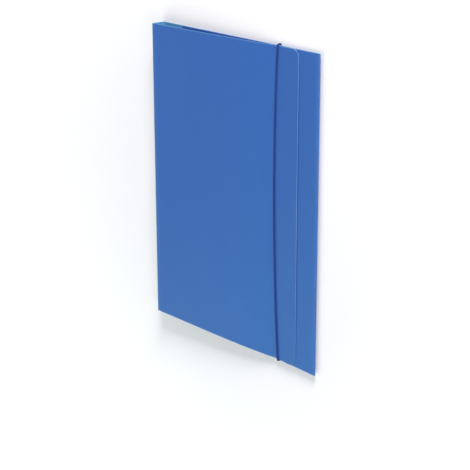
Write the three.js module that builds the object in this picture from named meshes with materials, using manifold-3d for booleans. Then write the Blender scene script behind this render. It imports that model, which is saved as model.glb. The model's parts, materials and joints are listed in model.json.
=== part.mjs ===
// A three-flap document folder of laminated card, closed by one round elastic.
// The card is a single die-cut sheet: front cover, spine, back cover, a side flap at the fore edge
// and a flap at the head and the tail. The elastic runs round the closed folder near the fore edge.
// Its ends pass through two holes in the back cover and are held inside by pressed steel bars.
import * as THREE from "three";
import { mergeVertices, toCreasedNormals } from "three/addons/utils/BufferGeometryUtils.js";
import Module from "manifold-3d";

const wasm = await Module();
wasm.setup();

// Driving sizes in millimetres. X runs from the spine to the fore edge, Y from tail to head,
// and Z up through the closed folder, from the outer face of the back cover.
const WIDTH = 240; // outside of the spine to the fore edge
const HEIGHT = 320; // tail edge to head edge
const SPINE = 16; // outside width of the spine
const CARD = 0.5; // thickness of the card
const LAYER_GAP = 0.2; // air between layers of card that lie on each other
const CLEARANCE = 0.3; // air between the card, the elastic and its bars
const CREASE = 0.35; // inner radius of the two folds beside the spine

const COVER_SETBACK = 27.5; // free edge of the front cover to the fore edge
const COVER_CORNER = 8; // radius of the front cover's free corners

const SIDE_FLAP = 80; // fore edge to the side flap's free edge
const SIDE_FLAP_LAP = 2.5; // how far the side flap reaches past the rounding of the front cover
const END_FLAP = 70; // head or tail edge to the free edge of its flap
const END_FLAP_START = 33; // spine to the near end of the flaps at head and tail
const END_FLAP_TAPER = 14; // what each end of such a flap loses on the way to its free edge
const FLAP_CORNER = 7; // rounding of the flaps' free corners
const FLAP_TO_BAR = 3; // from the flaps to the bars of the elastic

const ELASTIC = 2; // diameter of the elastic
const ELASTIC_SETBACK = 56.7; // fore edge to the elastic where it crosses the head edge
const ELASTIC_SKEW = 3.7; // how much nearer to the fore edge it crosses the tail edge
const ELASTIC_BOW = 5; // how far its middle strays towards the spine
const HOLE_SETBACK = 55; // fore edge to the two holes in the back cover
const HOLE_INSET = 12; // head or tail edge to the hole beside it

const BAR_LENGTH = 12; // steel bar on each end of the elastic
const BAR_HEIGHT = 1;
const BAR_WALL = 0.3;

// The front cover's rise over the closed stack, as two handles of a curve: how far along the
// way from the spine to the elastic each lies, and how much of the rise is left there.
const COVER_RISE = [
  { along: 0.34, left: 0.716 },
  { along: 0.73, left: 0.59 },
  { along: 1, left: 0.022 },
];

// Heights of the layers' middle surfaces
const backMid = CARD / 2;
const endFlapMid = backMid + CARD + LAYER_GAP;
const sideFlapMid = endFlapMid + CARD + LAYER_GAP;
const barFloor = CARD + CLEARANCE;
const overBars = barFloor + BAR_HEIGHT + CLEARANCE;
const coverMid = Math.max(sideFlapMid + CARD / 2 + LAYER_GAP, overBars) + CARD / 2;

const headY = HEIGHT / 2;
const coverEdgeX = WIDTH - COVER_SETBACK;
const holeX = WIDTH - HOLE_SETBACK;
const holeY = headY - HOLE_INSET;
const bendRadius = ELASTIC / 2 + CLEARANCE; // the elastic's centre line round an edge of the card
const holeRadius = ELASTIC / 2 + CLEARANCE;
const barWidth = 2 * (holeRadius + BAR_WALL);
const margin = 1; // how far a cutting tool reaches past what it cuts

const materials = {
  card: new THREE.MeshStandardMaterial({ color: 0x426eb2, roughness: 0.45, metalness: 0 }),
  elastic: new THREE.MeshStandardMaterial({ color: 0x202a6e, roughness: 0.85, metalness: 0 }),
  steel: new THREE.MeshStandardMaterial({ color: 0xb9bcc0, roughness: 0.3, metalness: 1 }),
};

// Points along an arc, with the angles in quarter turns.
function arc(centreX, centreY, radius, from, to, steps = 6) {
  const points = [];
  for (let i = 0; i <= steps; i++) {
    const angle = ((from + ((to - from) * i) / steps) * Math.PI) / 2;
    const x = centreX + radius * Math.cos(angle);
    points.push(new THREE.Vector2(x, centreY + radius * Math.sin(angle)));
  }
  return points;
}

// A line moved sideways by an offset, to its left where the offset is positive.
function offsetLine(points, offset) {
  return points.map((point, i) => {
    const before = points[Math.max(i - 1, 0)];
    const after = points[Math.min(i + 1, points.length - 1)];
    const inward = i > 0 ? point.clone().sub(before).normalize() : null;
    const outward = i < points.length - 1 ? after.clone().sub(point).normalize() : null;
    const first = inward ?? outward;
    const second = outward ?? inward;
    const along = first.clone().add(second).normalize();
    const reach = offset / along.dot(first);
    return new THREE.Vector2(point.x - along.y * reach, point.y + along.x * reach);
  });
}

// A sheet seen from its edge, as thick as the card, along a middle line.
function sheetSection(line) {
  return new THREE.Shape([...offsetLine(line, CARD / 2), ...offsetLine(line, -CARD / 2).reverse()]);
}

// A closed outline whose corners with a radius are rounded.
function roundedShape(corners) {
  const shape = new THREE.Shape();
  corners.forEach(({ x, y, radius = 0 }, i) => {
    const corner = new THREE.Vector2(x, y);
    const before = corners[(i + corners.length - 1) % corners.length];
    const after = corners[(i + 1) % corners.length];
    const start = new THREE.Vector2(before.x - x, before.y - y).setLength(radius).add(corner);
    const end = new THREE.Vector2(after.x - x, after.y - y).setLength(radius).add(corner);
    if (i === 0) shape.moveTo(start.x, start.y);
    else shape.lineTo(start.x, start.y);
    if (radius > 0) shape.quadraticCurveTo(x, y, end.x, end.y);
  });
  return shape;
}

function solidFrom(geometry) {
  geometry.deleteAttribute("normal");
  geometry.deleteAttribute("uv");
  const merged = mergeVertices(geometry, 1e-4);
  const vertProperties = merged.attributes.position.array;
  const triVerts = new Uint32Array(merged.index.array);
  return new wasm.Manifold(new wasm.Mesh({ numProp: 3, vertProperties, triVerts }));
}

// An outline in plan, raised from one height to another.
function prism(shape, bottom, top) {
  const settings = { depth: top - bottom, bevelEnabled: false, curveSegments: 6 };
  return solidFrom(new THREE.ExtrudeGeometry(shape, settings).translate(0, 0, bottom));
}

function block(x0, x1, y0, y1, z0, z1) {
  const geometry = new THREE.BoxGeometry(x1 - x0, y1 - y0, z1 - z0);
  return solidFrom(geometry.translate((x0 + x1) / 2, (y0 + y1) / 2, (z0 + z1) / 2));
}

function namedMesh(solid, name, material) {
  const { vertProperties, triVerts } = solid.getMesh();
  const geometry = new THREE.BufferGeometry();
  geometry.setAttribute("position", new THREE.BufferAttribute(vertProperties, 3));
  geometry.setIndex(new THREE.BufferAttribute(triVerts, 1));
  const mesh = new THREE.Mesh(toCreasedNormals(geometry, Math.PI / 6), material);
  mesh.name = name;
  return mesh;
}

// The front cover's middle line, from the spine's upper fold to its free edge: it bows over
// the wedge that the spine holds open, and lies flat from the elastic on.
function coverLine(startX) {
  const pressedX = WIDTH - ELASTIC_SETBACK - ELASTIC_BOW;
  const rise = SPINE - CARD / 2 - coverMid;
  const [first, second, pressed] = COVER_RISE.map(
    ({ along, left }) => new THREE.Vector2(pressedX * along, coverMid + rise * left),
  );
  const start = new THREE.Vector2(startX, coverMid + rise);
  const bow = new THREE.CubicBezierCurve(start, first, second, pressed);
  const slope = (second.y - pressed.y) / (pressed.x - second.x);
  const settle = (pressed.y - coverMid) / slope;
  const corner = new THREE.Vector2(pressed.x + settle, coverMid);
  const flat = new THREE.Vector2(pressed.x + 2 * settle, coverMid);
  const bend = new THREE.QuadraticBezierCurve(pressed, corner, flat);
  return [...bow.getPoints(20), ...bend.getPoints(4).slice(1), new THREE.Vector2(coverEdgeX, coverMid)];
}

// Middle line of the sheet across the folder: side flap, fold at the fore edge, back cover,
// spine, front cover. The last part is given again as the line that the elastic lies on.
function crossLine() {
  const foreRadius = (sideFlapMid - backMid) / 2;
  const foreX = WIDTH - CARD / 2 - foreRadius;
  const spineRadius = CREASE + CARD / 2;
  const spineX = CARD / 2 + spineRadius;
  const cover = coverLine(spineX);
  const line = [
    new THREE.Vector2(WIDTH - SIDE_FLAP, sideFlapMid),
    ...arc(foreX, backMid + foreRadius, foreRadius, 1, -1, 10),
    ...arc(spineX, backMid + spineRadius, spineRadius, -1, -2),
    ...arc(spineX, SPINE - CARD / 2 - spineRadius, spineRadius, 2, 1).slice(0, -1),
    ...cover,
  ];
  return { line, cover };
}

const { line: sheetLine, cover: coverMiddle } = crossLine();
const coverTop = offsetLine(coverMiddle, CARD / 2);

// Height of the front cover's outer face at a distance from the spine.
function coverTopAt(x) {
  const next = coverTop.findIndex((point) => point.x >= x);
  const a = coverTop[next - 1];
  const b = coverTop[next];
  return THREE.MathUtils.mapLinear(x, a.x, b.x, a.y, b.y);
}

// The sheet from spine to fore edge, still with square ends.
function foldedStrip() {
  const settings = { depth: HEIGHT, bevelEnabled: false };
  const geometry = new THREE.ExtrudeGeometry(sheetSection(sheetLine), settings);
  return solidFrom(geometry.rotateX(Math.PI / 2).translate(0, headY, 0));
}

// What is cut away to round a free corner of the front cover.
function coverCornerTool(side) {
  const centreX = coverEdgeX - COVER_CORNER;
  const rounding = arc(centreX, headY - COVER_CORNER, COVER_CORNER, 1, 0, 8);
  const outside = [
    new THREE.Vector2(coverEdgeX + margin, headY - COVER_CORNER),
    new THREE.Vector2(coverEdgeX + margin, headY + margin),
    new THREE.Vector2(centreX, headY + margin),
  ];
  const outline = [...rounding, ...outside].map(({ x, y }) => new THREE.Vector2(x, side * y));
  const under = coverMid - (CARD + LAYER_GAP) / 2;
  return prism(new THREE.Shape(outline), under, SPINE);
}

// What is cut away from the side flap: its slanted ends, which pass clear of the elastic's bars.
function sideFlapTool() {
  const freeX = WIDTH - SIDE_FLAP;
  const startX = coverEdgeX - COVER_CORNER - SIDE_FLAP_LAP;
  const passX = holeX + BAR_LENGTH / 2 + FLAP_TO_BAR;
  const passY = holeY - barWidth / 2;
  const slant = (headY - passY) / (startX - passX);
  const freeY = headY - (startX - freeX) * slant;
  const kept = roundedShape([
    { x: startX, y: headY },
    { x: freeX, y: freeY, radius: FLAP_CORNER },
    { x: freeX, y: -freeY, radius: FLAP_CORNER },
    { x: startX, y: -headY },
    { x: startX + margin, y: 0 },
  ]);
  const under = sideFlapMid - (CARD + LAYER_GAP) / 2;
  const over = sideFlapMid + (CARD + LAYER_GAP) / 2;
  const layer = block(freeX - margin, startX, -headY - margin, headY + margin, under, over);
  return layer.subtract(prism(kept, under - margin, over + margin));
}

const endFlapRadius = (endFlapMid - backMid) / 2;
const endFlapFold = endFlapRadius + CARD / 2; // how far the fold takes the edge of the back cover in
const endFlapEndX = holeX - BAR_LENGTH / 2 - FLAP_TO_BAR;

// The flap at the head (side 1) or tail (side -1): a tongue that joins the back cover, the fold
// at the edge and the flap itself, folded in over the back cover.
function endFlap(side) {
  const foldY = headY - endFlapFold;
  const tongue = endFlapFold + 5;
  const line = [
    new THREE.Vector2(headY - tongue, backMid),
    ...arc(foldY, backMid + endFlapRadius, endFlapRadius, -1, 1, 10),
    new THREE.Vector2(headY - END_FLAP, endFlapMid),
  ].map(({ x, y }) => new THREE.Vector2(side * x, y));
  const settings = { depth: endFlapEndX - END_FLAP_START, bevelEnabled: false };
  const toFolder = new THREE.Matrix4().makeBasis(
    new THREE.Vector3(0, 1, 0),
    new THREE.Vector3(0, 0, 1),
    new THREE.Vector3(1, 0, 0),
  );
  const folded = new THREE.ExtrudeGeometry(sheetSection(line), settings).applyMatrix4(toFolder);
  const outline = roundedShape([
    { x: END_FLAP_START - margin, y: side * (headY + margin) },
    { x: END_FLAP_START - margin, y: side * foldY },
    { x: END_FLAP_START, y: side * foldY },
    { x: END_FLAP_START + END_FLAP_TAPER, y: side * (headY - END_FLAP), radius: FLAP_CORNER },
    { x: endFlapEndX - END_FLAP_TAPER, y: side * (headY - END_FLAP), radius: FLAP_CORNER },
    { x: endFlapEndX, y: side * foldY },
    { x: endFlapEndX + margin, y: side * foldY },
    { x: endFlapEndX + margin, y: side * (headY + margin) },
  ]);
  const strip = solidFrom(folded.translate(END_FLAP_START, 0, 0));
  return strip.intersect(prism(outline, -margin, endFlapMid + CARD));
}

// Room for the fold of an end flap in the edge of the back cover.
function foldRelief(side) {
  const inner = side * (headY - endFlapFold);
  const outer = side * (headY + margin);
  const x0 = END_FLAP_START - LAYER_GAP;
  const x1 = endFlapEndX + LAYER_GAP;
  return block(x0, x1, Math.min(inner, outer), Math.max(inner, outer), -margin, CARD + LAYER_GAP / 2);
}

function holeTool(side) {
  const outline = new THREE.Shape().absarc(holeX, side * holeY, holeRadius, 0, 2 * Math.PI);
  return prism(outline, -margin, CARD + LAYER_GAP / 2);
}

function foldedCard() {
  let card = foldedStrip().subtract(sideFlapTool());
  for (const side of [1, -1]) {
    card = card.subtract(coverCornerTool(side)).subtract(foldRelief(side)).subtract(holeTool(side));
    card = card.add(endFlap(side));
  }
  return namedMesh(card, "folded_card", materials.card);
}

// Where the elastic lies on the front cover, as a distance from the spine.
function elasticX(y) {
  const share = y / headY;
  const skew = (ELASTIC_SKEW * (1 - share)) / 2;
  return WIDTH - ELASTIC_SETBACK + skew - ELASTIC_BOW * (1 - share * share);
}

// The elastic from inside its bar, down through the hole, out under the back cover and round
// the edge to the top of the front cover.
function elasticEnd(side) {
  const edgeX = elasticX(side * headY);
  const topZ = coverTopAt(edgeX);
  const innerEnd = barFloor + BAR_HEIGHT - BAR_WALL - CLEARANCE;
  const place = (x, { x: y, y: z }) => new THREE.Vector3(x, side * y, z);
  return [
    new THREE.Vector3(holeX, side * holeY, innerEnd),
    ...arc(holeY + bendRadius, 0, bendRadius, 2, 3, 4).map((point) => place(holeX, point)),
    ...arc(headY, 0, bendRadius, -1, 0, 4).map((point) => place(edgeX, point)),
    ...arc(headY, topZ, bendRadius, 0, 1, 4).map((point) => place(edgeX, point)),
  ];
}

// A route whose steps are the points themselves, so that bends get short steps and runs long ones.
class SteppedRoute extends THREE.Curve {
  constructor(points) {
    super();
    this.points = points;
  }

  getPoint(t, target = new THREE.Vector3()) {
    const place = THREE.MathUtils.clamp(t, 0, 1) * (this.points.length - 1);
    const i = Math.min(Math.floor(place), this.points.length - 2);
    return target.lerpVectors(this.points[i], this.points[i + 1], place - i);
  }

  getUtoTmapping(u) {
    return u;
  }
}

function elasticCord() {
  const front = [];
  const runs = 20;
  for (let i = 1; i < runs; i++) {
    const y = headY - (HEIGHT * i) / runs;
    const x = elasticX(y);
    front.push(new THREE.Vector3(x, y, coverTopAt(x) + bendRadius));
  }
  const points = [...elasticEnd(1), ...front, ...elasticEnd(-1).reverse()];
  const section = new THREE.Shape().absarc(0, 0, ELASTIC / 2, 0, 2 * Math.PI);
  const extrudePath = new SteppedRoute(points);
  const settings = { steps: points.length - 1, curveSegments: 4, bevelEnabled: false, extrudePath };
  const solid = solidFrom(new THREE.ExtrudeGeometry(section, settings));
  return namedMesh(solid, "elastic_cord", materials.elastic);
}

// A bar's outline: a slot shape across the folder over its hole, taken in by an inset.
function barOutline(side, inset) {
  const radius = barWidth / 2 - inset;
  const reach = (BAR_LENGTH - barWidth) / 2;
  const outline = new THREE.Shape();
  outline.absarc(holeX + reach, side * holeY, radius, -Math.PI / 2, Math.PI / 2);
  outline.absarc(holeX - reach, side * holeY, radius, Math.PI / 2, (3 * Math.PI) / 2);
  return outline;
}

// A pressed steel bar, open below, that takes the end of the elastic and lies over the hole.
function endBar(side, name) {
  const top = barFloor + BAR_HEIGHT;
  const outer = prism(barOutline(side, 0), barFloor, top);
  const hollow = prism(barOutline(side, BAR_WALL), barFloor - margin, top - BAR_WALL);
  return namedMesh(outer.subtract(hollow), name, materials.steel);
}

// The closed folder lies on its back cover, propped by the fold of the spine and by the two
// runs of elastic under the cover.
const folder = new THREE.Group();
folder.add(foldedCard(), elasticCord());
folder.add(endBar(1, "head_end_bar"), endBar(-1, "tail_end_bar"));
const propHeight = 2 * bendRadius - CLEARANCE;
folder.rotation.y = -Math.atan(propHeight / (holeX - CREASE - CARD));

const part = new THREE.Group();
part.add(folder);
part.updateMatrixWorld(true);
const extent = new THREE.Box3().setFromObject(part, true);
const centre = extent.getCenter(new THREE.Vector3());
folder.position.set(-centre.x, -centre.y, -extent.min.z);

export default part;
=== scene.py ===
import json
import math

import bmesh
import bpy
from mathutils import Matrix, Vector, geometry, kdtree, noise


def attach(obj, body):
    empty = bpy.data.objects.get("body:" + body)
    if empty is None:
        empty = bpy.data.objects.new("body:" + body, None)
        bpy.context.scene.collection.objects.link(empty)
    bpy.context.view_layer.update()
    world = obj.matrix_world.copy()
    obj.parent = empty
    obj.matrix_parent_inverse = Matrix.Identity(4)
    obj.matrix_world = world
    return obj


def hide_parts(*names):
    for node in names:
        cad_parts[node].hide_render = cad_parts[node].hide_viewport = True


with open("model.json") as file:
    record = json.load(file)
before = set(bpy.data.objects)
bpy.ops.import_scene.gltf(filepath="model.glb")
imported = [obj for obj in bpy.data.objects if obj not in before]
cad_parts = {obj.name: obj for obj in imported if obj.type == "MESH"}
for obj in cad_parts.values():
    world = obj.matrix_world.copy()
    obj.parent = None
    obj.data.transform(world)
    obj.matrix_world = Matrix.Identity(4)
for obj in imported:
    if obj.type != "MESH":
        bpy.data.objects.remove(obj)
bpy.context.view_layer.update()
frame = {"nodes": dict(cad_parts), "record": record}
print("frame loaded:", ", ".join(sorted(frame["nodes"])))

mm = 0.001

# The closed folder. X runs from the spine to the fore edge, Y from tail to head, Z up from the
# outer face of the back cover, until placeOnFloor puts a finished mesh where the folder lies.
folder = {
    "width": 240 * mm,
    "height": 320 * mm,
    "spine": 16 * mm,
    "card": 0.5 * mm,
    "layerGap": 0.2 * mm,  # air between layers of card that lie on each other
    "crease": 0.35 * mm,  # inner radius of the two folds beside the spine
    "coverSetback": 27.5 * mm,  # free edge of the front cover to the fore edge
    "coverCorner": 8 * mm,
    "sideFlap": 80 * mm,
    "sideFlapLap": 2.5 * mm,  # how far the side flap reaches past the rounding of the cover
    "endFlap": 70 * mm,
    "endFlapStart": 33 * mm,  # spine to the near end of the flaps at head and tail
    "endFlapTaper": 14 * mm,  # what each end of such a flap loses on the way to its free edge
    "flapCorner": 7 * mm,
    "flapToBar": 3 * mm,
}
elastic = {
    "diameter": 2 * mm,
    "setback": 56.7 * mm,  # fore edge to the elastic where it crosses the head edge
    "skew": 3.7 * mm,  # how much nearer to the fore edge it crosses the tail edge
    "bow": 5 * mm,  # how far its middle strays towards the spine
    "holeSetback": 55 * mm,
    "holeInset": 12 * mm,
    "clearance": 0.3 * mm,
}
bar = {
    "length": 12 * mm,
    "height": 1 * mm,
    "wall": 0.3 * mm,
}

card = folder["card"]
headY = folder["height"] / 2
backMid = card / 2
endFlapMid = backMid + card + folder["layerGap"]
sideFlapMid = endFlapMid + card + folder["layerGap"]
barFloor = card + elastic["clearance"]
overBars = barFloor + bar["height"] + elastic["clearance"]
coverMid = max(sideFlapMid + card / 2 + folder["layerGap"], overBars) + card / 2
coverEdgeX = folder["width"] - folder["coverSetback"]
holeX = folder["width"] - elastic["holeSetback"]
holeY = headY - elastic["holeInset"]
holeRadius = elastic["diameter"] / 2 + elastic["clearance"]
barWidth = 2 * (holeRadius + bar["wall"])
endFlapEndX = holeX - bar["length"] / 2 - folder["flapToBar"]
foreFoldRadius = (sideFlapMid - backMid) / 2
foreFoldX = folder["width"] - card / 2 - foreFoldRadius
endFlapRadius = (endFlapMid - backMid) / 2
endFlapFoldY = headY - endFlapRadius - card / 2
spineRadius = folder["crease"] + card / 2
spineX = card / 2 + spineRadius


def folderToFrame():
    # the back cover's face in the record says how the folder leans on the floor
    mounts = frame["record"]["mounts"]
    face = next(m for m in mounts if m["name"] == "back_cover_face")
    up = -Vector(face["axis"]).normalized()
    along = Vector((up.z, 0, -up.x))
    origin = Vector(face["pos_m"]) - along * folder["width"] / 2
    return Matrix.Translation(origin) @ Matrix((along, (0, 1, 0), up)).transposed().to_4x4()


placing = folderToFrame()

# The folded card. Its middle surface is a strip of rows, each a line along the height.
sprung = {
    "rise": [(0.34, 0.716), (0.73, 0.59), (1, 0.022)],  # along to the elastic, rise that is left
    "swell": 0.45 * mm,  # how far the cover stands up more at mid height than at head and tail
    "ripple": 0.22 * mm,  # slow unevenness of the card between its folds
    "ripplesPerMetre": (11, 9),
    "ripplePlace": 3.7,
    "dip": 0.45 * mm,  # how far the elastic bends the cover's edge in at head and tail
    "dipReach": 9 * mm,
    "roll": 0.3 * mm,  # how far the cover still rises beside the spine's fold
    "rollReach": 1.6 * mm,
    "edgeLift": 0.45 * mm,  # the free edge of the cover springs up this much between its ends
    "edgeLiftStart": 4 * mm,  # past the elastic
}
sheet = {
    "across": 60,  # even rows of faces along the height
    "edgeRows": [0, 0.45 * mm, 1.1 * mm, 2.4 * mm],  # finer rows beside the cut edges
    "bowSteps": 64,  # lines over the cover's rise
    "foldSteps": 8,
    "edgeFoldSteps": 14,  # round the fore edge and the cover's free corners
    "flapFoldSteps": 12,
    "flapSteps": 12,
    "endFlapSteps": 28,  # back cover beside an end flap
    "levelSteps": 8,
    "backSteps": 7,  # back cover between an end flap and the spine
    "spineSteps": 6,
    "firstSteps": 5,  # front cover before the first line of its rise
    "tolerance": 0.05 * mm,
    "foldAngle": 5,  # degrees from one line to the next that count as a fold
    "sharpAngle": 40,
    "cutWearAndHighlightWidth": 0.6 * mm,  # how far the film has whitened beside a cut, a band that is also a painted edge highlight
    "punchDepth": 2 * mm,
    "punchSides": 32,
}


def arcPoints(centreX, centreZ, radius, start, end, steps):
    # angles in quarter turns
    points = []
    for i in range(steps + 1):
        angle = (start + (end - start) * i / steps) * math.pi / 2
        points.append((centreX + radius * math.cos(angle), centreZ + radius * math.sin(angle)))
    return points


def between(start, end, steps):
    # values from start up to but without end
    return [start + (end - start) * i / steps for i in range(steps)]


def coverCurve():
    # the front cover's middle line up to where it lies flat
    pressedX = folder["width"] - elastic["setback"] - elastic["bow"]
    rise = folder["spine"] - card / 2 - coverMid
    first, second, pressed = [Vector((pressedX * a, coverMid + rise * b)) for a, b in sprung["rise"]]
    start = Vector((spineX, coverMid + rise))
    bow = geometry.interpolate_bezier(start, first, second, pressed, sheet["bowSteps"])
    slope = (second.y - pressed.y) / (pressed.x - second.x)
    settle = (pressed.y - coverMid) / slope
    corner = Vector((pressed.x + settle, coverMid))
    flat = Vector((pressed.x + 2 * settle, coverMid))
    handles = pressed.lerp(corner, 2 / 3), flat.lerp(corner, 2 / 3)
    bend = geometry.interpolate_bezier(pressed, *handles, flat, sheet["foldSteps"])
    return [tuple(p) for p in bow] + [tuple(p) for p in bend[1:]]


coverPoints = coverCurve()


def elasticX(y):
    share = y / headY
    skew = elastic["skew"] * (1 - share) / 2
    return folder["width"] - elastic["setback"] + skew - elastic["bow"] * (1 - share * share)


def coverLift(x, y):
    # what the sprung card adds to the cover's plain curve
    endX = coverPoints[-1][0]
    share = min(max(x / endX, 0), 1)
    free = math.sin(math.pi * share)
    lift = sprung["swell"] * free * (1 - (y / headY) ** 2)
    perX, perY = sprung["ripplesPerMetre"]
    lift += sprung["ripple"] * free * noise.noise(Vector((x * perX, y * perY, sprung["ripplePlace"])))
    lift -= sprung["roll"] * math.exp(-max(x - spineX, 0) / sprung["rollReach"])
    pastElastic = max(x - elasticX(y) - sprung["edgeLiftStart"], 0) / (coverEdgeX - elasticX(y))
    lift += sprung["edgeLift"] * pastElastic ** 2 * (1 - (y / headY) ** 4)
    nearEnd = math.exp(-((headY - abs(y)) / sprung["dipReach"]))
    nearElastic = math.exp(-(((x - elasticX(math.copysign(headY, y))) / sprung["dipReach"]) ** 2))
    return lift - sprung["dip"] * nearEnd * nearElastic


def coverTop(x, y):
    # height of the front cover's outer face
    middle = coverMid
    for (x0, z0), (x1, z1) in zip(coverPoints, coverPoints[1:]):
        if x0 <= x <= x1:
            middle = z0 + (z1 - z0) * (x - x0) / (x1 - x0)
    return middle + card / 2 + coverLift(x, y)


def sideFlapRows():
    # free edge with rounded corners, slanted ends, then the full height up to the fold
    freeX = folder["width"] - folder["sideFlap"]
    startX = coverEdgeX - folder["coverCorner"] - folder["sideFlapLap"]
    passX = holeX + bar["length"] / 2 + folder["flapToBar"]
    passY = holeY - barWidth / 2
    slant = Vector((startX - passX, headY - passY)).normalized()
    freeY = headY - (startX - freeX) * slant.y / slant.x
    radius = folder["flapCorner"]
    rows = []
    for t in between(0, 1, sheet["flapSteps"]):
        x = freeX + radius * slant.x * t * t
        rows.append((x, freeY - radius * (1 - t) ** 2 + radius * slant.y * t * t))
    for t in between(0, 1, sheet["flapSteps"]):
        x = freeX + radius * slant.x + (startX - freeX - radius * slant.x) * t
        rows.append((x, headY - (startX - x) * slant.y / slant.x))
    rows += [(x, headY) for x in between(startX, foreFoldX, sheet["levelSteps"])]
    return [(x, sideFlapMid, half) for x, half in rows]


def backCoverRows():
    # from the fore edge to the spine, its ends taken in where the end flaps fold over
    relief = folder["layerGap"]
    fine = sheet["edgeRows"]
    flapStart, flapEnd = folder["endFlapStart"], endFlapEndX
    rows = [(x, headY) for x in between(foreFoldX, flapEnd + relief, sheet["flapSteps"])[1:]]
    rows += [(flapEnd + relief, headY)]
    rows += [(flapEnd - d, endFlapFoldY) for d in fine]
    beside = between(flapEnd - fine[-1], flapStart + fine[-1], sheet["endFlapSteps"])
    rows += [(x, endFlapFoldY) for x in beside[1:]]
    rows += [(flapStart + d, endFlapFoldY) for d in fine[::-1]]
    rows += [(flapStart - relief, headY)]
    rows += [(x, headY) for x in between(flapStart - relief, spineX, sheet["backSteps"])[1:]]
    return [(x, backMid, half) for x, half in rows]


def frontCoverRows():
    flatX = coverPoints[-1][0]
    radius = folder["coverCorner"]
    firstX = coverPoints[1][0]
    besideFold = between(spineX, firstX, sheet["firstSteps"])
    rows = [(x, coverPoints[0][1], headY) for x in besideFold[1:]]
    rows += [(x, z, headY) for x, z in coverPoints[1:]]
    level = between(flatX, coverEdgeX - radius, sheet["levelSteps"])
    rows += [(x, coverMid, headY) for x in level[1:]]
    for x, y in arcPoints(coverEdgeX - radius, headY - radius, radius, 1, 0, sheet["edgeFoldSteps"]):
        rows.append((x, coverMid, y))
    return rows


def stripRows():
    # every line of the sheet along the height: x, height and half its length
    foreMid, spineLow = backMid + foreFoldRadius, backMid + spineRadius
    spineTop = folder["spine"] - card / 2 - spineRadius - sprung["roll"]
    foreFold = arcPoints(foreFoldX, foreMid, foreFoldRadius, 1, -1, sheet["edgeFoldSteps"])
    lowFold = arcPoints(spineX, spineLow, spineRadius, -1, -2, sheet["foldSteps"])
    topFold = arcPoints(spineX, spineTop, spineRadius, 2, 1, sheet["foldSteps"])
    rows = sideFlapRows()
    rows += [(x, z, headY) for x, z in foreFold]
    rows += backCoverRows()
    rows += [(x, z, headY) for x, z in lowFold]
    rows += [(card / 2, z, headY) for z in between(spineLow, spineTop, sheet["spineSteps"])[1:]]
    rows += [(x, z, headY) for x, z in topFold]
    coverStart = len(rows)
    return rows + frontCoverRows(), coverStart


def endFlapRows():
    # the fold and the flap behind it: y, height and what each end is taken in
    depth = folder["endFlap"] - (headY - endFlapFoldY)
    radius = folder["flapCorner"]
    side = Vector((folder["endFlapTaper"], depth)).normalized()
    straight = depth - radius * side.y
    foldZ = backMid + endFlapRadius
    fold = arcPoints(endFlapFoldY, foldZ, endFlapRadius, -1, 1, sheet["flapFoldSteps"])
    rows = [(y, z, 0) for y, z in fold[1:]]
    for t in between(0, 1, sheet["flapSteps"])[1:]:
        rows.append((endFlapFoldY - straight * t, endFlapMid, side.x / side.y * straight * t))
    start = Vector((side.x / side.y * straight, straight))
    corner = Vector((folder["endFlapTaper"], depth))
    for i in range(sheet["foldSteps"] + 1):
        t = i / sheet["foldSteps"]
        p = start * (1 - t) ** 2 + corner * 2 * t * (1 - t) + (corner + Vector((radius, 0))) * t * t
        rows.append((endFlapFoldY - p.y, endFlapMid, p.x))
    return rows


def foldEndFlap(bm, side, flat, folded, flatU):
    # extrudes the back cover's edge round the fold and in over the cover, row by row
    startX, endX = folder["endFlapStart"], endFlapEndX
    near = sheet["tolerance"]

    def onFold(v):
        level = abs(v.co.z - backMid) < near and abs(v.co.y - side * endFlapFoldY) < near
        return level and startX - near < v.co.x < endX + near

    edges = [e for e in bm.edges if e.is_boundary and onFold(e.verts[0]) and onFold(e.verts[1])]
    inset, unfolded, last = 0, endFlapFoldY, (endFlapFoldY, backMid)
    for y, z, newInset in endFlapRows():
        made = bmesh.ops.extrude_edge_only(bm, edges=edges)["geom"]
        verts = {g for g in made if isinstance(g, bmesh.types.BMVert)}
        edges = [g for g in made if isinstance(g, bmesh.types.BMEdge) and set(g.verts) <= verts]
        unfolded += math.dist((y, z), last)
        for v in verts:
            share = (v.co.x - startX - inset) / (endX - startX - 2 * inset)
            v.co = (startX + newInset + share * (endX - startX - 2 * newInset), side * y, z)
            v[flat] = (flatU(v.co.x), side * unfolded, 0)
            v[folded] = 1 if z < endFlapMid - card / 10 else 0
        inset, last = newInset, (y, z)


def acrossShares():
    # places of the sheet's lines from tail to head, closer beside the cut ends
    ends = [1 - d / headY for d in sheet["edgeRows"]]
    inner = between(-ends[-1], ends[-1], sheet["across"])[1:]
    return [-e for e in ends] + inner + ends[::-1]


def turnAt(rows, i):
    # how much the sheet turns at a line, in radians
    if not 0 < i < len(rows) - 1:
        return 0
    (x0, z0, _), (x1, z1, _), (x2, z2, _) = rows[i - 1:i + 2]
    return abs(Vector((x1 - x0, z1 - z0)).angle_signed(Vector((x2 - x1, z2 - z1))))


def markCutWearAndHighlight(bm, flat):
    # how near each point lies to a cut edge, measured on the flat sheet, for whitened film that is also a
    # painted edge highlight
    wearAndHighlight = bm.verts.layers.float.new("cutWearAndHighlight")
    cut = [v for v in bm.verts if v.is_boundary]
    tree = kdtree.KDTree(len(cut))
    for i, v in enumerate(cut):
        tree.insert(v[flat], i)
    tree.balance()
    for v in bm.verts:
        v[wearAndHighlight] = max(0, 1 - tree.find(v[flat])[2] / sheet["cutWearAndHighlightWidth"])


def smoothShade(piece, sharpAngle):
    piece.data.shade_smooth()
    piece.data.set_sharp_from_angle(angle=math.radians(sharpAngle))


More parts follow.
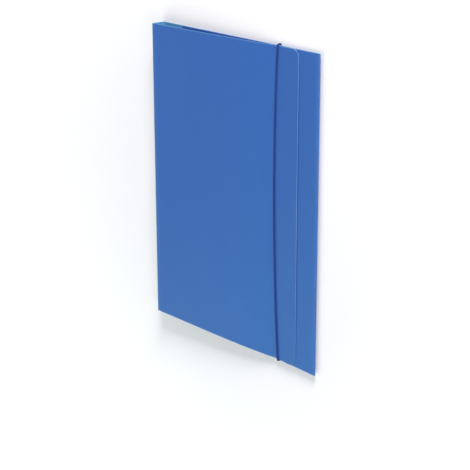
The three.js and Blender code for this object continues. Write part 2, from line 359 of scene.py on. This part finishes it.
def finishMesh(name, bm, materials, sharpAngle=sheet["sharpAngle"]):
    mesh = bpy.data.meshes.new(name)
    bm.to_mesh(mesh)
    bm.free()
    piece = bpy.data.objects.new(name, mesh)
    bpy.context.scene.collection.objects.link(piece)
    for material in materials:
        mesh.materials.append(material)
    smoothShade(piece, sharpAngle)
    return piece


def applyModifiers(piece):
    view = bpy.context.evaluated_depsgraph_get()
    mesh = bpy.data.meshes.new_from_object(piece.evaluated_get(view))
    piece.modifiers.clear()
    piece.data = mesh


def mergePoints(piece, distance):
    # merges points that lie on each other, and drops the faces that this leaves without area
    bm = bmesh.new()
    bm.from_mesh(piece.data)
    bmesh.ops.remove_doubles(bm, verts=bm.verts, dist=distance)
    bmesh.ops.dissolve_degenerate(bm, edges=bm.edges, dist=distance)
    bmesh.ops.triangulate(bm, faces=[f for f in bm.faces if len(f.verts) > 4])
    bm.to_mesh(piece.data)
    bm.free()


def punchHole(piece, side):
    # a round hole through the back cover for the elastic
    bm = bmesh.new()
    depth = sheet["punchDepth"]
    topZ = card + folder["layerGap"]
    bmesh.ops.create_cone(bm, cap_ends=True, segments=sheet["punchSides"], depth=depth,
                          radius1=holeRadius, radius2=holeRadius)
    bmesh.ops.translate(bm, verts=bm.verts, vec=(holeX, side * holeY, topZ - depth / 2))
    tool = finishMesh("punch", bm, [])
    cut = piece.modifiers.new("hole", "BOOLEAN")
    cut.operation = "DIFFERENCE"
    cut.solver = "EXACT"
    cut.object = tool
    cut.material_mode = "INDEX"
    applyModifiers(piece)
    bpy.data.objects.remove(tool)


def foldedCard(materials):
    rows, coverStart = stripRows()
    shares = acrossShares()
    us = [0]
    for (x0, z0, _), (x1, z1, _) in zip(rows, rows[1:]):
        us.append(us[-1] + math.dist((x0, z0), (x1, z1)))
    bm = bmesh.new()
    flat = bm.verts.layers.float_vector.new("unfolded")
    folded = bm.verts.layers.float.new("foldWear")
    bmesh.ops.create_grid(bm, x_segments=len(rows) - 1, y_segments=len(shares) - 1, size=1)
    for v in bm.verts:
        i = round((v.co.x + 1) / 2 * (len(rows) - 1))
        j = round((v.co.y + 1) / 2 * (len(shares) - 1))
        x, z, half = rows[i]
        y = shares[j] * half
        if i >= coverStart:
            z += coverLift(x, y)
        v.co = (x, y, z)
        v[flat] = (us[i], y, 0)
        v[folded] = 1 if turnAt(rows, i) > math.radians(sheet["foldAngle"]) else 0
    backStart = us[max(i for i, r in enumerate(rows[:coverStart]) if r[1] == backMid)]
    flatOrigin = backStart + min(r[0] for r in rows[:coverStart] if r[1] == backMid)
    for side in (1, -1):
        foldEndFlap(bm, side, flat, folded, lambda x: flatOrigin - x)
    markCutWearAndHighlight(bm, flat)
    sheetMap = bm.loops.layers.uv.new("flatSheet")
    for face in bm.faces:
        for loop in face.loops:
            loop[sheetMap].uv = loop.vert[flat].xy
    bm.verts.layers.float_vector.remove(flat)
    bmesh.ops.recalc_face_normals(bm, faces=bm.faces)
    cover = max(bm.faces, key=lambda f: f.calc_center_median().z)
    if cover.normal.z < 0:
        bmesh.ops.reverse_faces(bm, faces=bm.faces)
    piece = finishMesh("cardFolder", bm, materials)
    thick = piece.modifiers.new("thickness", "SOLIDIFY")
    thick.thickness = card
    thick.offset = 0
    thick.use_even_offset = True
    thick.material_offset = 1
    thick.material_offset_rim = 2
    applyModifiers(piece)
    for side in (1, -1):
        punchHole(piece, side)
    smoothShade(piece, sheet["sharpAngle"])
    return piece


# The elastic, a braided tube along its centre line
braid = {
    "diameter": 1.8 * mm,  # what is left of the elastic's diameter while it is stretched
    "lift": 0.04 * mm,  # air under it where it lies on the card
    "lineSteps": 90,  # points of its line over the cover
    "turnSteps": 10,  # points of its line round an edge
    "step": 0.2 * mm,  # length of a ring of faces
    "sides": 40,
    "strands": 8,  # strands each way round the braid
    "turnLength": 7 * mm,  # along the cord for one turn of a strand
    "relief": 0.11 * mm,
    "fullness": 0.7,  # the lower, the flatter the strands' crowns
    "filaments": 7,  # fine threads side by side in a strand
    "seam": 0.001 * mm,
    "sharpAngle": 60,
}


def elasticLine():
    # centre line from inside one bar to inside the other, as folder points
    bend = elastic["diameter"] / 2 + elastic["clearance"]
    lie = braid["diameter"] / 2 + braid["lift"]
    steps = braid["turnSteps"]
    innerEnd = barFloor + bar["height"] - bar["wall"] - elastic["clearance"]
    ends = []
    for side in (1, -1):
        edgeX = elasticX(side * headY)
        topZ = coverTop(edgeX, side * headY)
        points = [Vector((holeX, side * holeY, innerEnd))]
        points += [Vector((holeX, side * y, z)) for y, z in arcPoints(holeY + bend, 0, bend, 2, 3, steps)]
        points += [Vector((edgeX, side * y, z)) for y, z in arcPoints(headY, 0, bend, -1, 0, steps)]
        points += [Vector((edgeX, side * y, z)) for y, z in arcPoints(headY, topZ, lie, 0, 1, steps)]
        ends.append(points)
    front = []
    for y in between(headY, -headY, braid["lineSteps"])[1:]:
        x = elasticX(y)
        front.append(Vector((x, y, coverTop(x, y) + lie)))
    return ends[0] + front + ends[1][::-1]


def evenly(points, step):
    # the same line with points a step apart
    lengths = [0]
    for a, b in zip(points, points[1:]):
        lengths.append(lengths[-1] + (b - a).length)
    count = round(lengths[-1] / step)
    made, at = [], 0
    for i in range(count + 1):
        target = lengths[-1] * i / count
        while at < len(points) - 2 and lengths[at + 1] < target:
            at += 1
        share = (target - lengths[at]) / (lengths[at + 1] - lengths[at])
        made.append(points[at].lerp(points[at + 1], share))
    return made


def braidRadius(turn, length):
    # strands of two hands pass over and under each other round the cord
    around = braid["strands"] * turn
    along = braid["strands"] * length / braid["turnLength"]
    left, right = around + along, around - along
    leftOnTop = (math.floor(left) + math.floor(right)) % 2 == 0
    crown = math.sin(math.pi * ((left if leftOnTop else right) % 1))
    return braid["diameter"] / 2 - braid["relief"] * (1 - crown ** braid["fullness"])


def braidedElastic(materials):
    step, sides = braid["step"], braid["sides"]
    line = evenly(elasticLine(), step)
    count = len(line)
    bm = bmesh.new()
    bmesh.ops.create_grid(bm, x_segments=count - 1, y_segments=sides, size=1)
    layer = bm.loops.layers.uv.new("along")
    tangents = [(line[min(i + 1, count - 1)] - line[max(i - 1, 0)]).normalized() for i in range(count)]
    across = [Vector((1, 0, 0))]
    for tangent in tangents:
        across.append((across[-1] - tangent * across[-1].dot(tangent)).normalized())
    places = {}
    for v in bm.verts:
        places[v] = (round((v.co.x + 1) / 2 * (count - 1)), round((v.co.y + 1) / 2 * sides))
    for face in bm.faces:
        for loop in face.loops:
            i, j = places[loop.vert]
            loop[layer].uv = (i * step / elastic["diameter"], j / sides)
    for v, (i, j) in places.items():
        turn = j / sides
        outX, outY = across[i + 1], tangents[i].cross(across[i + 1])
        out = outX * math.cos(2 * math.pi * turn) + outY * math.sin(2 * math.pi * turn)
        v.co = line[i] + out * braidRadius(turn, i * step)
    bmesh.ops.remove_doubles(bm, verts=bm.verts, dist=braid["seam"])
    ends = [e for e in bm.edges if e.is_boundary]
    bmesh.ops.holes_fill(bm, edges=ends, sides=sides)
    bmesh.ops.recalc_face_normals(bm, faces=bm.faces)
    return finishMesh("elasticCord", bm, materials, braid["sharpAngle"])


# The steel bars
pressing = {
    "sides": 32,
    "topInset": 0.18 * mm,
    "wallRows": (0.3, 0.7, 1),  # shares of the wall's depth
    "cuts": 9,  # rows of faces along the straight sides, for the pinch
    "crimp": 0.22 * mm,  # how far the bar is pinched on the end of the elastic
    "crimpReach": 1.4 * mm,
    "dent": 0.12 * mm,  # how far its top is pressed in there
    "middle": 0.2 * mm,  # beside the middle line nothing is pinched
    "bevel": 0.08 * mm,
    "bevelSteps": 2,
    "merge": 0.002 * mm,
    "sharpAngle": 50,
}


def endBar(side, name, materials):
    # a pressed channel over the hole, pinched on the end of the elastic
    reach = (bar["length"] - barWidth) / 2
    bm = bmesh.new()
    bmesh.ops.create_circle(bm, cap_ends=True, segments=pressing["sides"], radius=barWidth / 2)
    for v in bm.verts:
        v.co.x += math.copysign(reach, v.co.x) if abs(v.co.x) > mm / 10000 else 0
    bmesh.ops.translate(bm, verts=bm.verts, vec=(0, 0, barFloor + bar["height"]))
    bmesh.ops.inset_region(bm, faces=bm.faces[:], thickness=pressing["topInset"], use_even_offset=True)
    rim = [e for e in bm.edges if e.is_boundary]
    for depth in pressing["wallRows"]:
        made = bmesh.ops.extrude_edge_only(bm, edges=rim)["geom"]
        verts = {g for g in made if isinstance(g, bmesh.types.BMVert)}
        rim = [g for g in made if isinstance(g, bmesh.types.BMEdge) and set(g.verts) <= verts]
        for v in verts:
            v.co.z = barFloor + bar["height"] * (1 - depth)
    long = [e for e in bm.edges if abs(e.verts[0].co.x - e.verts[1].co.x) > reach]
    bmesh.ops.subdivide_edges(bm, edges=long, cuts=pressing["cuts"], use_grid_fill=True)
    for v in bm.verts:
        near = math.exp(-((v.co.x / pressing["crimpReach"]) ** 2))
        v.co.y -= math.copysign(pressing["crimp"], v.co.y) * near * (abs(v.co.y) > pressing["middle"])
        v.co.z -= pressing["dent"] * near * (v.co.z > barFloor + bar["height"] * 0.9)
    bmesh.ops.translate(bm, verts=bm.verts, vec=(holeX, side * holeY, 0))
    bmesh.ops.recalc_face_normals(bm, faces=bm.faces)
    top = max(bm.faces, key=lambda f: f.calc_area())
    if top.normal.z < 0:
        bmesh.ops.reverse_faces(bm, faces=bm.faces)
    piece = finishMesh(name, bm, materials)
    wall = piece.modifiers.new("wall", "SOLIDIFY")
    wall.thickness = bar["wall"]
    wall.offset = -1
    wall.use_even_offset = True
    edge = piece.modifiers.new("edge", "BEVEL")
    edge.width = pressing["bevel"]
    edge.segments = pressing["bevelSteps"]
    edge.limit_method = "ANGLE"
    applyModifiers(piece)
    mergePoints(piece, pressing["merge"])
    smoothShade(piece, pressing["sharpAngle"])
    return piece


def placeOnFloor(piece):
    piece.data.transform(placing)
    piece.data.update()


# Materials. Scales of the noises are per metre.


def group(name, inputs, outputs):
    made = bpy.data.node_groups.new(name, "ShaderNodeTree")
    for label, kind, value in inputs:
        socket = made.interface.new_socket(label, in_out="INPUT", socket_type=kind)
        if value is not None:
            socket.default_value = value
    for label, kind in outputs:
        made.interface.new_socket(label, in_out="OUTPUT", socket_type=kind)
    start = made.nodes.new("NodeGroupInput")
    end = made.nodes.new("NodeGroupOutput")
    return made, start, end


def node(tree, kind, settings=None, values=None):
    made = tree.nodes.new(kind)
    for label, value in (settings or {}).items():
        setattr(made, label, value)
    for label, value in (values or {}).items():
        made.inputs[label].default_value = value
    return made


def mixed(tree, factor, a, b, blend="MIX"):
    # a colour mix whose factor and ends are sockets or plain values
    made = node(tree, "ShaderNodeMix", {"data_type": "RGBA", "blend_type": blend})
    for index, value in ((0, factor), (6, a), (7, b)):
        if hasattr(value, "is_linked"):
            tree.links.new(value, made.inputs[index])
        else:
            made.inputs[index].default_value = value
    return made.outputs[2]


def noiseNode(tree, scale, detail, roughness, stretch=None, turn=0):
    # a noise in Object coordinates, drawn out along one way where stretch is given
    place = node(tree, "ShaderNodeTexCoord")
    made = node(tree, "ShaderNodeTexNoise", {}, {"Scale": scale, "Detail": detail, "Roughness": roughness})
    if stretch:
        drawn = node(tree, "ShaderNodeMapping", {}, {"Scale": stretch, "Rotation": (0, 0, turn)})
        tree.links.new(place.outputs["Object"], drawn.inputs["Vector"])
        tree.links.new(drawn.outputs["Vector"], made.inputs["Vector"])
    else:
        tree.links.new(place.outputs["Object"], made.inputs["Vector"])
    return made.outputs["Fac"]


def ranged(tree, value, low, high, outLow=0, outHigh=1):
    made = node(tree, "ShaderNodeMapRange", {}, {
        "From Min": low, "From Max": high, "To Min": outLow, "To Max": outHigh})
    tree.links.new(value, made.inputs["Value"])
    return made.outputs["Result"]


def worked(tree, operation, a, b):
    made = node(tree, "ShaderNodeMath", {"operation": operation})
    for index, value in enumerate((a, b)):
        if hasattr(value, "is_linked"):
            tree.links.new(value, made.inputs[index])
        else:
            made.inputs[index].default_value = value
    return made.outputs[0]


cardPattern = {
    "cloudScale": 60,
    "fibreScale": 3200,
    "speckScale": 1100,
    "rolledScale": (900, 35, 900),  # streaks along the height from the rollers
    "unevenScale": 22,
    "lighter": 1.3,
    "darker": 0.76,
    "toothHeight": 0.02 * mm,
    "unevenHeight": 0.12 * mm,
    "unevenStrength": 0.35,
    "wearScale": 160,
    "scuffScale": 16,
    "scuffs": [((28, 1500, 28), 0.5), ((24, 1700, 24), -0.9), ((30, 1300, 30), 1.9)],  # scale and turn
}


def grainGroup():
    # clouds of pulp and dye, specks, the fine tooth of the sheet and slow unevenness
    made, start, end = group(
        "cardGrain",
        [("Color", "NodeSocketColor", (0.05, 0.15, 0.4, 1)), ("Cloud", "NodeSocketFloat", 0.1),
         ("Specks", "NodeSocketFloat", 0.05), ("Roughness", "NodeSocketFloat", 0.4),
         ("Tooth", "NodeSocketFloat", 0.2)],
        [("Color", "NodeSocketColor"), ("Roughness", "NodeSocketFloat"), ("Normal", "NodeSocketVector")])
    links = made.links
    cloud = noiseNode(made, cardPattern["cloudScale"], 6, 0.68)
    fibre = noiseNode(made, cardPattern["fibreScale"], 3, 0.7)
    speck = noiseNode(made, cardPattern["speckScale"], 2, 0.5)
    rolled = noiseNode(made, 1, 3, 0.6, cardPattern["rolledScale"])
    shades = []
    for value, saturation in ((cardPattern["darker"], 1.05), (cardPattern["lighter"], 0.92)):
        shade = node(made, "ShaderNodeHueSaturation", {}, {"Value": value, "Saturation": saturation})
        links.new(start.outputs["Color"], shade.inputs["Color"])
        shades.append(shade.outputs["Color"])
    clouded = mixed(made, ranged(made, cloud, 0.3, 0.7), *shades)
    coloured = mixed(made, start.outputs["Cloud"], start.outputs["Color"], clouded)
    specked = mixed(made, ranged(made, speck, 0.38, 0.66), *shades)
    links.new(mixed(made, start.outputs["Specks"], coloured, specked), end.inputs["Color"])
    rough = worked(made, "ADD", ranged(made, cloud, 0.2, 0.8, -0.05, 0.05), start.outputs["Roughness"])
    rough = worked(made, "ADD", rough, ranged(made, rolled, 0.3, 0.7, -0.03, 0.03))
    links.new(rough, end.inputs["Roughness"])
    fine = node(made, "ShaderNodeBump", {}, {"Distance": cardPattern["toothHeight"]})
    links.new(fibre, fine.inputs["Height"])
    links.new(start.outputs["Tooth"], fine.inputs["Strength"])
    uneven = node(made, "ShaderNodeBump", {}, {
        "Distance": cardPattern["unevenHeight"], "Strength": cardPattern["unevenStrength"]})
    links.new(noiseNode(made, cardPattern["unevenScale"], 3, 0.5), uneven.inputs["Height"])
    links.new(fine.outputs["Normal"], uneven.inputs["Normal"])
    links.new(uneven.outputs["Normal"], end.inputs["Normal"])
    return made


def wearAndHighlightGroup():
    # film whitened along cuts and folds, the band beside cuts also a painted edge highlight, and hairline
    # scuffs from the desk
    made, start, end = group(
        "edgeWearAndHighlight",
        [("Color", "NodeSocketColor", (0.05, 0.15, 0.4, 1)),
         ("WornAndHighlight", "NodeSocketColor", (0.3, 0.45, 0.7, 1)), ("Cuts", "NodeSocketFloat", 0.5),
         ("Folds", "NodeSocketFloat", 0.2), ("Scuffs", "NodeSocketFloat", 0.1)],
        [("Color", "NodeSocketColor"), ("WornAndHighlight", "NodeSocketFloat")])
    links = made.links
    broken = ranged(made, noiseNode(made, cardPattern["wearScale"], 5, 0.75), 0.32, 0.62, 0.45, 1)
    cut = node(made, "ShaderNodeAttribute", {"attribute_name": "cutWearAndHighlight"}).outputs["Fac"]
    fold = node(made, "ShaderNodeAttribute", {"attribute_name": "foldWear"}).outputs["Fac"]
    # whitening beside cuts, also a painted edge highlight
    cuts = worked(made, "MULTIPLY", worked(made, "MULTIPLY", cut, broken), start.outputs["Cuts"])
    folds = worked(made, "MULTIPLY", worked(made, "MULTIPLY", fold, broken), start.outputs["Folds"])
    lines = [ranged(made, noiseNode(made, 1, 2, 0.5, stretch, turn), 0.66, 0.72)
             for stretch, turn in cardPattern["scuffs"]]
    hairs = worked(made, "MAXIMUM", worked(made, "MAXIMUM", lines[0], lines[1]), lines[2])
    patches = ranged(made, noiseNode(made, cardPattern["scuffScale"], 3, 0.6), 0.5, 0.68)
    scuffs = worked(made, "MULTIPLY", worked(made, "MULTIPLY", hairs, patches), start.outputs["Scuffs"])
    wornAndHighlight = worked(made, "MAXIMUM", worked(made, "MAXIMUM", cuts, folds), scuffs)
    links.new(mixed(made, wornAndHighlight, start.outputs["Color"], start.outputs["WornAndHighlight"]), end.inputs["Color"])
    links.new(wornAndHighlight, end.inputs["WornAndHighlight"])
    return made


def newMaterial(name):
    made = bpy.data.materials.new(name)
    made.use_nodes = True
    return made, made.node_tree, made.node_tree.nodes["Principled BSDF"]


# In each look the second colour is whitened film, which beside cuts is also a painted edge highlight.
cardLooks = {
    "filmedCard": {  # printed face under satin film
        "color": (0.036, 0.108, 0.386, 1), "wornAndHighlight": (0.16, 0.33, 0.66, 1), "cloud": 0.05, "specks": 0.05,
        "roughness": 0.42, "tooth": 0.25, "cuts": 0.75, "folds": 0.14, "scuffs": 0.10,
        "gloss": 0.36, "glossTint": (0.04, 0.80, 1.0, 1), "film": 0.02,
    },
    "bareCard": {  # uncoated inner face
        "color": (0.080, 0.290, 0.500, 1), "wornAndHighlight": (0.30, 0.50, 0.68, 1), "cloud": 0.30, "specks": 0.28,
        "roughness": 0.78, "tooth": 0.8, "cuts": 0.4, "folds": 0.3, "scuffs": 0.05,
        "gloss": 0.3, "glossTint": (1, 1, 1, 1), "film": 0,
    },
    "cutCard": {  # raw edge of the board
        "color": (0.19, 0.35, 0.61, 1), "wornAndHighlight": (0.32, 0.49, 0.70, 1), "cloud": 0.5, "specks": 0.6,
        "roughness": 0.88, "tooth": 1.0, "cuts": 0.25, "folds": 0.2, "scuffs": 0,
        "gloss": 0.2, "glossTint": (1, 1, 1, 1), "film": 0,
    },
}


def cardMaterial(name, grain, wearAndHighlight):
    look = cardLooks[name]
    made, tree, surface = newMaterial(name)
    pattern = node(tree, "ShaderNodeGroup", {"node_tree": grain}, {
        "Color": look["color"], "Cloud": look["cloud"], "Specks": look["specks"],
        "Roughness": look["roughness"], "Tooth": look["tooth"]})
    marks = node(tree, "ShaderNodeGroup", {"node_tree": wearAndHighlight}, {
        "WornAndHighlight": look["wornAndHighlight"], "Cuts": look["cuts"], "Folds": look["folds"], "Scuffs": look["scuffs"]})
    tree.links.new(pattern.outputs["Color"], marks.inputs["Color"])
    tree.links.new(marks.outputs["Color"], surface.inputs["Base Color"])
    rougher = worked(tree, "MULTIPLY", marks.outputs["WornAndHighlight"], 0.25)
    tree.links.new(worked(tree, "ADD", pattern.outputs["Roughness"], rougher), surface.inputs["Roughness"])
    tree.links.new(pattern.outputs["Normal"], surface.inputs["Normal"])
    surface.inputs["Specular IOR Level"].default_value = look["gloss"]
    surface.inputs["Specular Tint"].default_value = look["glossTint"]
    surface.inputs["Coat Weight"].default_value = look["film"]
    surface.inputs["Coat Roughness"].default_value = 0.3
    return made


def strandPattern(tree):
    # the braid of braidRadius drawn on the cord's own map: crown of the strand and place across it
    place = node(tree, "ShaderNodeUVMap", {"uv_map": "along"})
    parts = node(tree, "ShaderNodeSeparateXYZ")
    tree.links.new(place.outputs["UV"], parts.inputs[0])
    perDiameter = braid["strands"] * elastic["diameter"] / braid["turnLength"]
    along = worked(tree, "MULTIPLY", parts.outputs["X"], perDiameter)
    around = worked(tree, "MULTIPLY", parts.outputs["Y"], braid["strands"])
    left, right = worked(tree, "ADD", around, along), worked(tree, "SUBTRACT", around, along)
    cells = worked(tree, "ADD", worked(tree, "FLOOR", left, 0), worked(tree, "FLOOR", right, 0))
    rightOnTop = worked(tree, "FLOORED_MODULO", cells, 2)
    top = worked(tree, "ADD", worked(tree, "MULTIPLY", right, rightOnTop),
                 worked(tree, "MULTIPLY", left, worked(tree, "SUBTRACT", 1, rightOnTop)))
    across = worked(tree, "FRACT", top, 0)
    crown = worked(tree, "SINE", worked(tree, "MULTIPLY", across, math.pi), 0)
    turns = worked(tree, "MULTIPLY", across, 2 * math.pi * braid["filaments"])
    return place.outputs["UV"], crown, worked(tree, "SINE", turns, 0)


yarnLook = {
    # dark and light of the yarn are painted shade and painted highlight across the fine threads
    "dark": (0.014, 0.032, 0.165, 1),
    "light": (0.029, 0.065, 0.29, 1),
    "faded": (0.024, 0.038, 0.20, 1),
    "paintedGapShade": (0.007, 0.014, 0.082, 1),  # painted shade between the strands
    "threadHeight": 0.16,  # to that of a strand
    "bump": 0.05 * mm,
    "bumpStrength": 0.8,
    "roughness": 0.78,
    "sheen": 0.3,
    "sheenRoughness": 0.4,
    "sheenTint": (0.2, 0.35, 0.8, 1),
    "gloss": 0.25,
}


def elasticMaterial():
    # navy yarn with painted shade: strands painted darker where they dive under each other, and fine
    # threads along them painted lighter on their ridges and darker between them
    made, tree, surface = newMaterial("navyBraid")
    place, crown, threads = strandPattern(tree)
    fuzz = node(tree, "ShaderNodeTexNoise", {}, {"Scale": 9, "Detail": 4, "Roughness": 0.7})
    tree.links.new(place, fuzz.inputs["Vector"])
    # painted shade in the grooves between fine threads and painted highlight on their ridges, following
    # the threads' bump
    yarn = mixed(tree, ranged(tree, threads, -1, 1), yarnLook["dark"], yarnLook["light"])
    tinted = mixed(tree, ranged(tree, fuzz.outputs["Fac"], 0.3, 0.7, 0, 0.6), yarn, yarnLook["faded"])
    # painted shade in the gaps where one strand dives under the other
    paintedGapShade = mixed(tree, ranged(tree, crown, 0, 0.55), yarnLook["paintedGapShade"], tinted)
    tree.links.new(paintedGapShade, surface.inputs["Base Color"])
    relief = worked(tree, "ADD", worked(tree, "MULTIPLY", threads, yarnLook["threadHeight"]), crown)
    bump = node(tree, "ShaderNodeBump", {}, {
        "Distance": yarnLook["bump"], "Strength": yarnLook["bumpStrength"]})
    tree.links.new(relief, bump.inputs["Height"])
    tree.links.new(bump.outputs["Normal"], surface.inputs["Normal"])
    surface.inputs["Roughness"].default_value = yarnLook["roughness"]
    surface.inputs["Sheen Weight"].default_value = yarnLook["sheen"]
    surface.inputs["Sheen Roughness"].default_value = yarnLook["sheenRoughness"]
    surface.inputs["Sheen Tint"].default_value = yarnLook["sheenTint"]
    surface.inputs["Specular IOR Level"].default_value = yarnLook["gloss"]
    return made


steelLook = {
    "dark": (0.46, 0.47, 0.49, 1),
    "light": (0.68, 0.69, 0.71, 1),
    "lineScale": (60, 6000, 3000),
    "roughness": (0.22, 0.42),
}


def steelMaterial():
    # bright pressed steel with fine rolling lines
    made, tree, surface = newMaterial("pressedSteel")
    place = node(tree, "ShaderNodeTexCoord")
    stretch = node(tree, "ShaderNodeMapping", {}, {"Scale": steelLook["lineScale"]})
    lines = node(tree, "ShaderNodeTexNoise", {}, {"Scale": 1, "Detail": 3, "Roughness": 0.6})
    tree.links.new(place.outputs["Object"], stretch.inputs["Vector"])
    tree.links.new(stretch.outputs["Vector"], lines.inputs["Vector"])
    colour = mixed(tree, lines.outputs["Fac"], steelLook["dark"], steelLook["light"])
    tree.links.new(colour, surface.inputs["Base Color"])
    rough = ranged(tree, lines.outputs["Fac"], 0, 1, *steelLook["roughness"])
    tree.links.new(rough, surface.inputs["Roughness"])
    surface.inputs["Metallic"].default_value = 1
    return made


# Camera, floor and lights

studio = {
    "shift": -0.0755,
    "sensor": 36,
    "lens": 100.42,
    "nearest": 0.05,
    "farthest": 50,
    "position": (0.97247, 0.38106, 0.82767),
    "right": (0.646488, -0.002105, -0.762921),
    "down": (0.220711, -0.95672, 0.189667),
    "worldLight": 0.24,
    "worldColor": (0.96, 0.98, 1, 1),
    "floorSize": 6,
    "floorRoughness": 0.6,
    "floorGloss": 0.2,
    "floorColor": (0.86, 0.83, 0.85, 1),
    "floorGlow": 0.12,  # for the camera alone, so that the open floor is white
    "floorFade": (0.18, 1.3),  # where the glow grows from its own strength to full white
}
lamps = {  # place, size across and up, power, colour
    "tailShadow": ((0.89, 2.0, 0.78), (0.35, 0.8), 68, (1, 1, 1)),
    "foreEdge": ((1.9, -0.2, 1.0), (0.6, 0.6), 8, (1, 1, 1)),
    "satinSheen": ((-0.6, -1.0, 1.0), (1.3, 1.0), 6.5, (0.74, 1, 1)),
    "overhead": ((0.25, -0.75, 1.8), (1.2, 1.2), 6.2, (1, 1, 1)),
}


def addCamera():
    data = bpy.data.cameras.new("camera")
    data.lens = studio["lens"]
    data.sensor_width = studio["sensor"]
    data.shift_y = studio["shift"]
    data.clip_start = studio["nearest"]
    data.clip_end = studio["farthest"]
    camera = bpy.data.objects.new("camera", data)
    bpy.context.scene.collection.objects.link(camera)
    right = Vector(studio["right"]).normalized()
    up = -Vector(studio["down"])
    up = (up - right * up.dot(right)).normalized()
    turned = Matrix((right, up, right.cross(up))).transposed().to_4x4()
    camera.matrix_world = Matrix.Translation(studio["position"]) @ turned
    bpy.context.scene.camera = camera


def seenDirectly(tree):
    # 1 for what the camera sees, also in metal and glass
    path = node(tree, "ShaderNodeLightPath")
    mirrored = worked(tree, "MAXIMUM", path.outputs["Is Glossy Ray"], path.outputs["Is Transmission Ray"])
    return worked(tree, "MAXIMUM", path.outputs["Is Camera Ray"], mirrored)


def addFloor():
    bm = bmesh.new()
    bmesh.ops.create_grid(bm, x_segments=1, y_segments=1, size=studio["floorSize"])
    floor = finishMesh("floor", bm, [])
    made, tree, surface = newMaterial("paleFloor")
    surface.inputs["Base Color"].default_value = studio["floorColor"]
    surface.inputs["Roughness"].default_value = studio["floorRoughness"]
    surface.inputs["Specular IOR Level"].default_value = studio["floorGloss"]
    surface.inputs["Emission Color"].default_value = (1, 1, 1, 1)
    place = node(tree, "ShaderNodeTexCoord")
    away = node(tree, "ShaderNodeVectorMath", {"operation": "LENGTH"})
    tree.links.new(place.outputs["Object"], away.inputs[0])
    glow = ranged(tree, away.outputs["Value"], *studio["floorFade"], studio["floorGlow"], 1)
    tree.links.new(worked(tree, "MULTIPLY", glow, seenDirectly(tree)), surface.inputs["Emission Strength"])
    floor.data.materials.append(made)


def addWorld():
    world = bpy.data.worlds.new("studio")
    world.use_nodes = True
    tree = world.node_tree
    tree.nodes.clear()
    seen = node(tree, "ShaderNodeBackground", {}, {"Color": (1, 1, 1, 1), "Strength": 1})
    light = node(tree, "ShaderNodeBackground", {}, {
        "Color": studio["worldColor"], "Strength": studio["worldLight"]})
    choose = node(tree, "ShaderNodeMixShader")
    out = node(tree, "ShaderNodeOutputWorld")
    tree.links.new(seenDirectly(tree), choose.inputs[0])
    tree.links.new(light.outputs[0], choose.inputs[1])
    tree.links.new(seen.outputs[0], choose.inputs[2])
    tree.links.new(choose.outputs[0], out.inputs["Surface"])
    bpy.context.scene.world = world


def addLamp(name, position, size, power, colour):
    data = bpy.data.lights.new(name, "AREA")
    data.shape = "RECTANGLE"
    data.size, data.size_y = size
    data.energy = power
    data.color = colour
    lamp = bpy.data.objects.new(name, data)
    bpy.context.scene.collection.objects.link(lamp)
    lamp.location = position
    lamp.rotation_mode = "QUATERNION"
    lamp.rotation_quaternion = Vector(position).to_track_quat("Z", "Y")


addCamera()
addFloor()
addWorld()
for name, lamp in lamps.items():
    addLamp(name, *lamp)
bpy.context.scene.view_settings.view_transform = "Standard"
print("camera, floor and lights set")

grain, wearAndHighlight = grainGroup(), wearAndHighlightGroup()
cardSkins = [cardMaterial(name, grain, wearAndHighlight) for name in ("filmedCard", "bareCard", "cutCard")]
navyBraid = elasticMaterial()
pressedSteel = steelMaterial()
print("materials made")

pieces = [
    (foldedCard(cardSkins), "folded_card", "card"),
    (braidedElastic([navyBraid]), "elastic_cord", "elastic"),
    (endBar(1, "headEndBar", [pressedSteel]), "head_end_bar", "steel"),
    (endBar(-1, "tailEndBar", [pressedSteel]), "tail_end_bar", "steel"),
]
for piece, cadNode, slot in pieces:
    placeOnFloor(piece)
    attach(piece, "root")
    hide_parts(cadNode)
    print(piece.name, len(piece.data.polygons), "faces")
